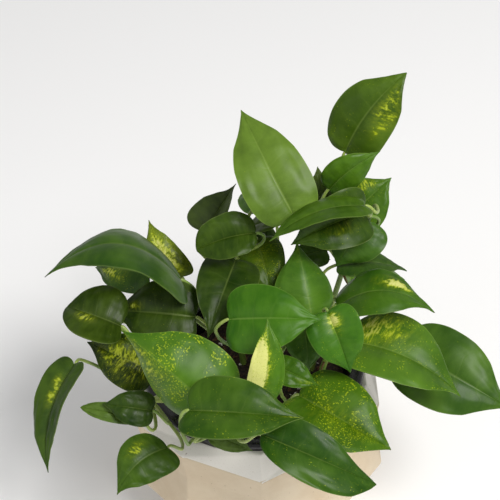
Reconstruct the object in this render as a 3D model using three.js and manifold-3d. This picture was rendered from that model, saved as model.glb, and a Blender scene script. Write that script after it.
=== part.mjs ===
// A potted pothos: a faceted planter, a nursery pot inside it, soil, vines with leaf stalks, and leaves.
// Millimetres, +Z up. The origin is the centre of the planter's flat base, and the front faces -Y.
import * as THREE from 'three';
import { mergeVertices } from 'three/addons/utils/BufferGeometryUtils.js';
import Module from 'manifold-3d';

const wasm = await Module();
wasm.setup();

// ---------- driving dimensions ----------
const PLANTER_HEIGHT = 112;
const PLANTER_SIDES = 10;
const PLANTER_OPENING = 140; // across the corners of the mouth
const PLANTER_SHOULDER = 156; // across the corners below the bevel
const PLANTER_WAIST = 150;
const PLANTER_BELLY = 160; // across the widest corners
const PLANTER_BASE = 108; // across the corners of the foot
const PLANTER_WALL = 5;
const PLANTER_FLOOR = 8;

const NURSERY_TOP = 117;
const NURSERY_LIP = 135; // outer diameter of the lip, which lies on the planter's rim
const NURSERY_LIP_HEIGHT = 4.6;
const NURSERY_BODY = 120; // outer diameter under the lip
const NURSERY_FOOT = 78;
const NURSERY_WALL = 1.6;
const NURSERY_BOTTOM = 9; // stands just clear of the planter's floor
const DRAIN_HOLE = 9;

const SOIL_TOP = 100;
const SOIL_GAP = 0.4;

const LEAF_THICKNESS = 1.0; // along the midrib, thinning to nothing at the margin
const LEAF_ROWS = 8;
const LEAF_LOBE = 0.11; // how far the base lobes reach back, as a part of the length
const LEAF_TAPER = 1.15; // how far the widest part lies towards the stalk
const LEAF_PINCH = 0.5; // how much the sides draw in before the tip
const LEAF_CURL = -30; // degrees the margins bend down
const LEAF_WAVE = 0.012; // ripple of the margin, as a part of the length
const STALK_RADIUS = 1;
const VINE_RADIUS = 1.8;
const STALK_STEPS = 7;
const VINE_STEPS = 8;
const SEAM_TIDY = 0.05; // slivers thinner than this are merged where a stalk joins its vine
const STALK_NECK = 12; // the bent stretch just below the blade
const STALK_GAP = 0.5; // between a stalk's end and its leaf

// ---------- finishes ----------
const finish = (color, roughness) => new THREE.MeshStandardMaterial({ color, roughness, metalness: 0 });
const CONCRETE = finish(0xd8cbb8, 0.85);
const BLACK_PLASTIC = finish(0x16161a, 0.3);
const SOIL = finish(0x2b2018, 0.95);
const STALK = finish(0x7d9a4a, 0.5);
const LEAF_COLOURS = {
  pale: 0x86a955,
  light: 0x6fa13f,
  bright: 0x4f9427,
  mid: 0x3f7a24,
  olive: 0x44601a,
  dark: 0x24501a,
  dull: 0x63804a,
};
const LEAF_FINISHES = Object.fromEntries(
  Object.entries(LEAF_COLOURS).map(([name, colour]) => [name, finish(colour, 0.4)]),
);

// ---------- the leaves ----------
// Every leaf has its name, where the blade meets its stalk, its tip and its width, then how it is held:
// roll turns it about its midrib from facing up and forward, arch lifts its middle, foldL and foldR raise
// its left and right half, and bow bends the midrib sideways. skew pushes one half ahead of the other.
// taper moves the widest part, pinch draws the tip in and lobe is the depth of the base lobes. Angles are
// in degrees. vine is the vine that carries it, and its stalk runs by the via points to a neck.
const LEAVES = [
  { name: 'leaf_crown_right', base: [60, 35, 245], tip: [95, 46, 288], width: 36, bow: 0.05, taper: 0.6,
    via: [[54, 40, 222]], vine: 2, tone: 'dark' },
  { name: 'leaf_crown_right_low', base: [49, 10, 239], tip: [77, 15, 259], width: 22, roll: 35,
    bow: 0.1, vine: 2, tone: 'light' },
  { name: 'leaf_crown_tall', base: [27, -10, 240], tip: [3, 40, 275], width: 39, bow: 0.02, taper: 1.0,
    neck: 4, via: [[3, 28, 208], [22, 22, 230]], vine: 1, tone: 'pale' },
  { name: 'leaf_crown_behind', base: [45, 21, 216], tip: [44, 33, 237], width: 16, vine: 2,
    tone: 'dull' },
  { name: 'leaf_crown_olive', base: [1, 14, 209], tip: [28, 1, 226], width: 26, roll: -38, foldR: 22,
    lobe: 0.03, vine: 1, tone: 'olive' },
  { name: 'leaf_olive_lobe', base: [6, -4, 223], tip: [-27, -7, 216], width: 27, roll: 22, foldR: 50,
    taper: 0.3, pinch: 0, lobe: 0.05, neck: 5, via: [[-8, 3, 204], [5, -3, 211]], vine: 1,
    tone: 'olive' },
  { name: 'leaf_fold_bright', base: [65, -14, 246], tip: [13, -29, 238], width: 25, roll: 45,
    arch: 0.13, neck: 8, via: [[67, 10, 204], [73, 8, 226]], vine: 3, tone: 'light' },
  { name: 'leaf_fold_dark', base: [66, -2, 230], tip: [25, -17, 224], width: 34, roll: 10, foldR: 60,
    neck: 4, via: [[71, 8, 222]], vine: 3, tone: 'dark' },
  { name: 'leaf_right_upper', base: [60, 22, 206], tip: [86, 32, 226], width: 32, vine: 3,
    tone: 'light' },
  { name: 'leaf_right_inner', base: [68, 3, 221], tip: [50, -10, 199], width: 35, vine: 3,
    tone: 'mid' },
  { name: 'leaf_right_dark', base: [52, -5, 196], tip: [91, -5, 187], width: 24, roll: -40,
    via: [[50, -26, 182]], vine: 4, tone: 'dark' },
  { name: 'leaf_right_arched', base: [49, -32, 190], tip: [101, -43, 190], width: 36, roll: -36,
    arch: 0.27, neck: 5, vine: 4, tone: 'mid' },
  { name: 'leaf_right_large', base: [54, -43, 172], tip: [113, -70, 150], width: 49, foldL: -4,
    foldR: 56, bow: 0.08, vine: 4, tone: 'light' },
  { name: 'leaf_right_far', base: [88, -27, 145], tip: [143, -60, 126], width: 48, taper: 0.8, vine: 4,
    tone: 'mid' },
  { name: 'leaf_centre_streaked', base: [42, -50, 203], tip: [52, -69, 175], width: 30, foldL: 34,
    neck: 4, vine: 4, tone: 'mid' },
  { name: 'leaf_centre_light', base: [34, -36, 187], tip: [29, -1, 211], width: 38, foldL: 0,
    foldR: -25, neck: 5, vine: 4, tone: 'light' },
  { name: 'leaf_centre_bright', base: [-11, -51, 204], tip: [38, -59, 207], width: 38, vine: 5,
    tone: 'bright' },
  { name: 'leaf_centre_dark', base: [-6, -2, 202], tip: [-24, -45, 185], width: 34, neck: 3,
    via: [[-12, 8, 190]], vine: 1, tone: 'dark' },
  { name: 'leaf_left_streaked', base: [-31, -27, 184], tip: [-74, -16, 182], width: 40, taper: 0.6,
    pinch: 0.2, vine: 0, tone: 'dark' },
  { name: 'leaf_left_round', base: [-72, -35, 189], tip: [-101, -23, 195], width: 40, foldL: 58,
    foldR: 0, taper: 0.35, pinch: 0, neck: 5, via: [[-60, -12, 166], [-76, -20, 178]], vine: 0,
    tone: 'dark' },
  { name: 'leaf_front_speckled', base: [-22, -92, 177], tip: [-68, -58, 208], width: 56, foldL: -45,
    foldR: 5, via: [[-20, -76, 156]], vine: 6, tone: 'mid' },
  { name: 'leaf_front_middle', base: [-34, -103, 192], tip: [24, -111, 189], width: 38, foldL: 5,
    foldR: 54, neck: 6, via: [[-32, -84, 150], [-38, -106, 172]], vine: 6, tone: 'mid' },
  { name: 'leaf_front_cream', base: [3, -93, 187], tip: [9, -70, 222], width: 19, bow: -0.05, vine: 6,
    tone: 'light' },
  { name: 'leaf_front_small', base: [12, -65, 180], tip: [34, -73, 171], width: 16, vine: 5,
    tone: 'bright' },
  { name: 'leaf_front_right', base: [24, -67, 157], tip: [71, -98, 143], width: 46, foldL: 5, foldR: 50,
    taper: 0.8, vine: 5, tone: 'bright' },
  { name: 'leaf_front_hanging', base: [2, -105, 171], tip: [60, -124, 147], width: 31, foldR: 35,
    skew: 0.14, taper: 0.6, lobe: 0.02, vine: 6, tone: 'mid' },
  { name: 'leaf_left_hanging', base: [-100, -43, 169], tip: [-118, -85, 128], width: 28, roll: 48,
    arch: 0.08, foldL: 20, foldR: 35, bow: -0.08, vine: 7, tone: 'dark' },
  { name: 'leaf_left_variegated', base: [-57, -44, 160], tip: [-93, -28, 171], width: 32, vine: 7,
    tone: 'dark' },
  { name: 'leaf_left_low', base: [-58, -66, 152], tip: [-85, -62, 156], width: 20, vine: 7,
    tone: 'dark' },
  { name: 'leaf_left_under', base: [-67, -64, 145], tip: [-98, -59, 151], width: 11, taper: 0.4,
    pinch: 0, vine: 7, tone: 'dull' },
  { name: 'leaf_rim_hanging', base: [-50, -89, 147], tip: [-78, -110, 136], width: 29, foldL: 8,
    foldR: 5, bow: -0.12, lobe: 0.1, vine: 7, tone: 'mid' },
  { name: 'leaf_rim_under', base: [-25, -84, 150], tip: [-4, -87, 137], width: 12, vine: 6,
    tone: 'dull' },
  { name: 'leaf_left_long', base: [-38, -10, 198], tip: [-112, -14, 210], width: 53, roll: 38,
    arch: 0.34, foldL: 20, foldR: -5, taper: 1.4, vine: 0, tone: 'mid' },
  { name: 'leaf_left_yellow', base: [-38, 8, 183], tip: [-55, 33, 206], width: 20, bow: 0.08, vine: 0,
    tone: 'olive' },
  { name: 'leaf_left_upper', base: [-22, 25, 201], tip: [-3, 45, 219], width: 32, foldL: 0, foldR: 75,
    taper: 2, lobe: 0.15, vine: 1, tone: 'dull' },
  { name: 'leaf_centre_olive', base: [7, 12, 203], tip: [14, -18, 184], width: 26, neck: 2,
    via: [[1, 10, 197]], vine: 1, tone: 'olive' },
  { name: 'leaf_centre_edge', base: [12, 23, 201], tip: [17, -4, 180], width: 12, vine: 1,
    tone: 'dark' },
  { name: 'leaf_centre_low', base: [30, -31, 176], tip: [31, -45, 153], width: 24, vine: 5,
    tone: 'dark' },
  { name: 'leaf_centre_back', base: [46, 9, 195], tip: [25, 7, 191], width: 18, vine: 3, tone: 'dark' },
  { name: 'leaf_back_tall', base: [18, 55, 196], tip: [10, 94, 176], width: 36, roll: 170, arch: -0.12,
    vine: 8, tone: 'mid' },
  { name: 'leaf_back_right', base: [48, 48, 178], tip: [60, 92, 150], width: 38, roll: 170, arch: -0.12,
    vine: 8, tone: 'mid' },
  { name: 'leaf_back_left', base: [-8, 45, 138], tip: [-6, 88, 108], width: 34, roll: 170, arch: -0.12,
    vine: 8, tone: 'dark' },
  { name: 'leaf_back_far_left', base: [-60, 40, 157], tip: [-96, 68, 140], width: 28, vine: 8,
    tone: 'mid' },
  { name: 'leaf_back_far_right', base: [62, 34, 140], tip: [100, 60, 118], width: 34, vine: 8,
    tone: 'mid' },
  { name: 'leaf_back_low', base: [24, 52, 128], tip: [28, 98, 96], width: 34, vine: 8, tone: 'dark' },
];

const LIGHT_SIDE = new THREE.Vector3(0, -0.6, 0.8);

function leafFrame(leaf) {
  const base = new THREE.Vector3(...leaf.base);
  const tip = new THREE.Vector3(...leaf.tip);
  const along = tip.clone().sub(base);
  const length = along.length();
  along.normalize();
  const up = LIGHT_SIDE.clone().addScaledVector(along, -LIGHT_SIDE.dot(along)).normalize();
  up.applyAxisAngle(along, THREE.MathUtils.degToRad(leaf.roll ?? 0));
  const across = up.clone().cross(along);
  return { base, along, across, up, length };
}

// A point of the blade: row runs from 0 at the stalk to 1 at the tip, and side from -1 to 1 across it.
function leafPoint(leaf, frame, row, side) {
  const { arch = 0.1, foldL = 12, foldR = 12, bow = 0, skew = 0 } = leaf;
  const { taper = LEAF_TAPER, pinch = LEAF_PINCH, lobe = LEAF_LOBE } = leaf;
  const turn = Math.PI * row;
  const reach = (1 - Math.cos(turn)) / 2;
  const margin = reach - (row < 0.5 ? lobe * Math.sin(2 * turn) : 0);
  const vein = reach ** 1.3;
  const out = Math.abs(side);
  const a = vein + (margin - vein) * out ** 1.15 - skew * side * out * Math.sin(turn) ** 2;
  const widest = Math.atan(1 / Math.sqrt(1 + taper));
  const peak = Math.sin(2 * widest) * Math.cos(widest) ** taper;
  const full = Math.sin(turn) * Math.cos(turn / 2) ** taper / peak;
  const halfWidth = (leaf.width / 2) * full * (1 - pinch * Math.max(0, reach / 0.3 - 7 / 3));
  const fold = side > 0 ? foldL : foldR;
  const lean = THREE.MathUtils.degToRad(fold + (LEAF_CURL * out) / 2);
  const flat = Math.sign(side) * halfWidth * out * Math.cos(lean);
  const ripple = LEAF_WAVE * frame.length * Math.sin(13 * row + 2 * side) * out * out * Math.sin(turn);
  const rise = halfWidth * out * Math.sin(lean) + ripple;
  const hump = 4 * a * (1 - a);
  const slope = Math.atan(4 * arch * (1 - 2 * a));
  return frame.base.clone()
    .addScaledVector(frame.along, a * frame.length - rise * Math.sin(slope))
    .addScaledVector(frame.across, flat + bow * frame.length * hump)
    .addScaledVector(frame.up, arch * frame.length * hump + rise * Math.cos(slope));
}

function leafNormal(leaf, frame, row, side) {
  const d = 0.02;
  const du = leafPoint(leaf, frame, row + d, side).sub(leafPoint(leaf, frame, row - d, side));
  const dv = leafPoint(leaf, frame, row, side + d).sub(leafPoint(leaf, frame, row, side - d));
  return du.cross(dv).normalize();
}

// A closed thin blade: two skins that meet at the margin, the stalk and the tip.
function leafGeometry(leaf) {
  const frame = leafFrame(leaf);
  const points = [];
  const add = (p) => points.push(p) - 1;
  const skins = [1, -1].map(() => []);
  const ends = [add(leafPoint(leaf, frame, 0, 0)), add(leafPoint(leaf, frame, 1, 0))];
  for (let i = 1; i < LEAF_ROWS; i += 1) {
    const row = i / LEAF_ROWS;
    const right = add(leafPoint(leaf, frame, row, -1));
    const left = add(leafPoint(leaf, frame, row, 1));
    skins.forEach((skin, k) => {
      const inner = [-0.5, 0, 0.5].map((side) => {
        const half = (LEAF_THICKNESS / 2) * (1 - side * side) * (k === 0 ? 1 : -1);
        const normal = leafNormal(leaf, frame, row, side);
        return add(leafPoint(leaf, frame, row, side).addScaledVector(normal, half));
      });
      skin.push([right, ...inner, left]);
    });
  }
  const faces = [];
  skins.forEach((skin, k) => {
    const face = (a, b, c) => faces.push(...(k === 0 ? [a, c, b] : [a, b, c]));
    for (let j = 0; j < 4; j += 1) {
      face(ends[0], skin[0][j + 1], skin[0][j]);
      face(ends[1], skin[LEAF_ROWS - 2][j], skin[LEAF_ROWS - 2][j + 1]);
      for (let i = 0; i < LEAF_ROWS - 2; i += 1) {
        face(skin[i][j], skin[i][j + 1], skin[i + 1][j + 1]);
        face(skin[i][j], skin[i + 1][j + 1], skin[i + 1][j]);
      }
    }
  });
  const geometry = new THREE.BufferGeometry();
  geometry.setAttribute('position', new THREE.Float32BufferAttribute(points.flatMap((p) => p.toArray()), 3));
  geometry.setIndex(faces);
  return geometry;
}

// ---------- joining and cutting ----------
function toSolid(geometry) {
  const plain = geometry.clone();
  plain.deleteAttribute('normal');
  plain.deleteAttribute('uv');
  const merged = mergeVertices(plain, 1e-4);
  const index = merged.index.array;
  return new wasm.Manifold(new wasm.Mesh({
    numProp: 3,
    vertProperties: new Float32Array(merged.attributes.position.array),
    triVerts: new Uint32Array(index),
  }));
}

function toGeometry(solid) {
  const mesh = solid.getMesh();
  const geometry = new THREE.BufferGeometry();
  geometry.setAttribute('position', new THREE.Float32BufferAttribute(mesh.vertProperties, 3));
  geometry.setIndex(Array.from(mesh.triVerts));
  return geometry;
}

function tube(points, radius, steps, sides = 5) {
  const section = new THREE.Shape();
  for (let i = 0; i < sides; i += 1) {
    const turn = (i / sides) * 2 * Math.PI;
    const move = i === 0 ? 'moveTo' : 'lineTo';
    section[move](radius * Math.cos(turn), radius * Math.sin(turn));
  }
  section.closePath();
  const path = new THREE.CatmullRomCurve3(points);
  return new THREE.ExtrudeGeometry(section, { steps, bevelEnabled: false, extrudePath: path });
}

// ---------- the vines ----------
// Each vine climbs out of the soil through these points. Its leaf stalks leave it near its top.
const VINES = [
  [[-26, 6, SOIL_TOP - 6], [-30, 4, 125], [-38, 0, 150], [-42, -2, 170]],
  [[-6, 14, SOIL_TOP - 6], [-8, 14, 130], [-6, 12, 165], [-2, 10, 192]],
  [[26, 22, SOIL_TOP - 6], [32, 22, 135], [42, 24, 170], [50, 24, 205]],
  [[34, 6, SOIL_TOP - 6], [42, 6, 130], [52, 8, 165], [60, 12, 194]],
  [[34, -16, SOIL_TOP - 6], [40, -24, 130], [44, -32, 160], [44, -34, 182]],
  [[10, -20, SOIL_TOP - 6], [12, -26, 125], [14, -34, 148], [14, -40, 160]],
  [[-8, -30, SOIL_TOP - 6], [-10, -44, 118], [-12, -58, 132], [-12, -70, 142]],
  [[-32, -20, SOIL_TOP - 6], [-40, -28, 116], [-50, -36, 126], [-60, -42, 134]],
  [[4, 34, SOIL_TOP - 6], [8, 38, 112], [12, 42, 124], [16, 44, 134]],
];

function stalkPoints(leaf, vine) {
  const { base, along, up } = leafFrame(leaf);
  const joint = new THREE.Vector3(...vine.at(-1));
  const end = base.clone()
    .addScaledVector(along, -STALK_GAP - STALK_RADIUS)
    .addScaledVector(up, -STALK_RADIUS);
  const fall = along.clone().multiplyScalar(-0.6).add(new THREE.Vector3(0, 0, -0.8)).normalize();
  const neck = end.clone().addScaledVector(fall, leaf.neck ?? STALK_NECK);
  const via = (leaf.via ?? []).map((point) => new THREE.Vector3(...point));
  return [joint, ...via, neck, end];
}

function vineGeometry(vine, number) {
  const route = vine.map((point) => new THREE.Vector3(...point));
  let solid = toSolid(tube(route, VINE_RADIUS, VINE_STEPS, 6));
  LEAVES.filter((leaf) => leaf.vine === number).forEach((leaf) => {
    solid = solid.add(toSolid(tube(stalkPoints(leaf, vine), STALK_RADIUS, STALK_STEPS)));
  });
  return toGeometry(solid.asOriginal().simplify(SEAM_TIDY));
}

// ---------- the planter ----------
// A ring of corners, every second one raised by the step and the others lowered by it.
function ring(count, diameter, height, step = 0) {
  return Array.from({ length: count }, (_, i) => {
    const turn = (i / count) * 2 * Math.PI - Math.PI / 2;
    const z = height + (i % 2 === 0 ? -step : step);
    return new THREE.Vector3((diameter / 2) * Math.cos(turn), (diameter / 2) * Math.sin(turn), z);
  });
}

// Joins rings of corners, listed from the bottom middle over the outside to the inside, into one skin.
function facetedGeometry(rings) {
  const points = [];
  const faces = [];
  const starts = rings.map((corners) => {
    const start = points.length;
    points.push(...corners);
    return start;
  });
  for (let k = 0; k < rings.length - 1; k += 1) {
    const count = rings[k].length;
    for (let i = 0; i < count; i += 1) {
      const next = (i + 1) % count;
      faces.push(starts[k] + i, starts[k] + next, starts[k + 1] + next);
      faces.push(starts[k] + i, starts[k + 1] + next, starts[k + 1] + i);
    }
  }
  const cap = (k, flip) => {
    const start = starts[k];
    for (let i = 1; i < rings[k].length - 1; i += 1) {
      faces.push(start, ...(flip ? [start + i + 1, start + i] : [start + i, start + i + 1]));
    }
  };
  cap(0, true);
  cap(rings.length - 1, false);
  const geometry = new THREE.BufferGeometry();
  geometry.setAttribute('position', new THREE.Float32BufferAttribute(points.flatMap((p) => p.toArray()), 3));
  geometry.setIndex(faces);
  return geometry;
}

function planterGeometry() {
  const mouth = PLANTER_OPENING - 2 * PLANTER_WALL;
  const rings = [
    [PLANTER_BASE, 0],
    [PLANTER_BELLY, 45, 4],
    [PLANTER_WAIST, 80, 4],
    [PLANTER_SHOULDER, PLANTER_HEIGHT - 10.5, 5.5],
    [PLANTER_OPENING, PLANTER_HEIGHT],
    [mouth, PLANTER_HEIGHT],
    [mouth + 4, 80],
    [PLANTER_BELLY - 4 * PLANTER_WALL, 45],
    [PLANTER_BASE - 4 * PLANTER_WALL, PLANTER_FLOOR],
  ];
  const corners = ([diameter, height, step]) => ring(PLANTER_SIDES, diameter, height, step);
  return facetedGeometry(rings.map(corners));
}

// ---------- the nursery pot and the soil ----------
const profile = (pairs) => pairs.map(([x, y]) => new THREE.Vector2(x, y));

function latheGeometry(pairs, segments) {
  const geometry = new THREE.LatheGeometry(profile(pairs), segments);
  geometry.rotateX(Math.PI / 2);
  return geometry;
}

function nurseryGeometry() {
  const lip = NURSERY_LIP / 2;
  const body = NURSERY_BODY / 2;
  const foot = NURSERY_FOOT / 2;
  const wall = NURSERY_WALL;
  const under = NURSERY_TOP - NURSERY_LIP_HEIGHT;
  const inside = body - wall;
  let pot = toSolid(latheGeometry([
    [0, NURSERY_BOTTOM], [foot, NURSERY_BOTTOM], [body, under], [lip, under], [lip, NURSERY_TOP - 1.4],
    [lip - 1.2, NURSERY_TOP], [lip - 3.6, NURSERY_TOP], [inside + 1.2, NURSERY_TOP - 1.6],
    [inside, NURSERY_TOP - 3],
    [inside, under], [foot - wall, NURSERY_BOTTOM + wall], [0, NURSERY_BOTTOM + wall],
  ], 32));
  for (let i = 0; i < 4; i += 1) {
    const turn = (i / 4) * 2 * Math.PI;
    const drill = new THREE.CylinderGeometry(DRAIN_HOLE / 2, DRAIN_HOLE / 2, 4 * wall, 10);
    drill.rotateX(Math.PI / 2);
    drill.translate(foot * 0.6 * Math.cos(turn), foot * 0.6 * Math.sin(turn), NURSERY_BOTTOM + wall / 2);
    pot = pot.subtract(toSolid(drill));
  }
  return toGeometry(pot);
}

function soilGeometry() {
  const foot = NURSERY_FOOT / 2 - NURSERY_WALL - SOIL_GAP;
  const under = NURSERY_TOP - NURSERY_LIP_HEIGHT;
  const body = NURSERY_BODY / 2 - NURSERY_WALL - SOIL_GAP;
  const share = (SOIL_TOP - 3 - NURSERY_BOTTOM - NURSERY_WALL) / (under - NURSERY_BOTTOM - NURSERY_WALL);
  const edge = foot + (body - foot) * share;
  let solid = toSolid(latheGeometry([
    [0, NURSERY_BOTTOM + NURSERY_WALL + SOIL_GAP], [foot, NURSERY_BOTTOM + NURSERY_WALL + SOIL_GAP],
    [edge, SOIL_TOP - 3], [edge * 0.5, SOIL_TOP], [0, SOIL_TOP + 1],
  ], 28));
  VINES.forEach((vine) => {
    const route = vine.map((point) => new THREE.Vector3(...point));
    const socket = route.slice(0, 2);
    socket[0] = socket[0].clone().add(new THREE.Vector3(0, 0, -1));
    solid = solid.subtract(toSolid(tube(socket, VINE_RADIUS + 0.7, 2, 8)));
  });
  return toGeometry(solid);
}

// ---------- the whole plant ----------
const plant = new THREE.Group();
function addPart(name, geometry, material) {
  const mesh = new THREE.Mesh(geometry, material);
  mesh.name = name;
  plant.add(mesh);
}

addPart('planter', planterGeometry(), CONCRETE);
addPart('nursery_pot', nurseryGeometry(), BLACK_PLASTIC);
addPart('soil', soilGeometry(), SOIL);
VINES.forEach((vine, i) => addPart(`vine_${i + 1}`, vineGeometry(vine, i), STALK));
LEAVES.forEach((leaf) => addPart(leaf.name, leafGeometry(leaf), LEAF_FINISHES[leaf.tone]));

export default plant;
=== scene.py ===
import math
import random
import bpy
from mathutils import Matrix, Vector, noise


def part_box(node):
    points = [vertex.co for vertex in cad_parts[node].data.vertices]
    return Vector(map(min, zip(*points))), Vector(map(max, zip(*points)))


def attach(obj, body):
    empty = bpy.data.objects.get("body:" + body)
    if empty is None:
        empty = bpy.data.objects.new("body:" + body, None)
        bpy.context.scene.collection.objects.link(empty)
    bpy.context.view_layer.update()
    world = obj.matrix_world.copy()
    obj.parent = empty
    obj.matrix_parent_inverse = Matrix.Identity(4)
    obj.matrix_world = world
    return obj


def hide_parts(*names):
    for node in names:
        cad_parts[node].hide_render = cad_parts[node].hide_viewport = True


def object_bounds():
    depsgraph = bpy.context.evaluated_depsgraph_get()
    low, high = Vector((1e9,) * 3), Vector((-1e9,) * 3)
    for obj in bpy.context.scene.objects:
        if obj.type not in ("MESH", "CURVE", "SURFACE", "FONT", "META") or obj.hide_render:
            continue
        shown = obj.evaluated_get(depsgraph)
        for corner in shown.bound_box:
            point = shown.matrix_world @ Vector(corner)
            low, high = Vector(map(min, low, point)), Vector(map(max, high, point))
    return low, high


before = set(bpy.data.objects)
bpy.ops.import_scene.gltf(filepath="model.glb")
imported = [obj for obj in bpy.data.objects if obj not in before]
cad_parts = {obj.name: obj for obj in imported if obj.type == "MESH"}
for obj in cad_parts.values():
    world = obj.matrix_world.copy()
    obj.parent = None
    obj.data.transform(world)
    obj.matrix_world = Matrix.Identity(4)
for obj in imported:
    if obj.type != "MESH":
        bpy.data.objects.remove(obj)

MM = 0.001
CAD_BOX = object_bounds()
ROOT = "root"

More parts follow.
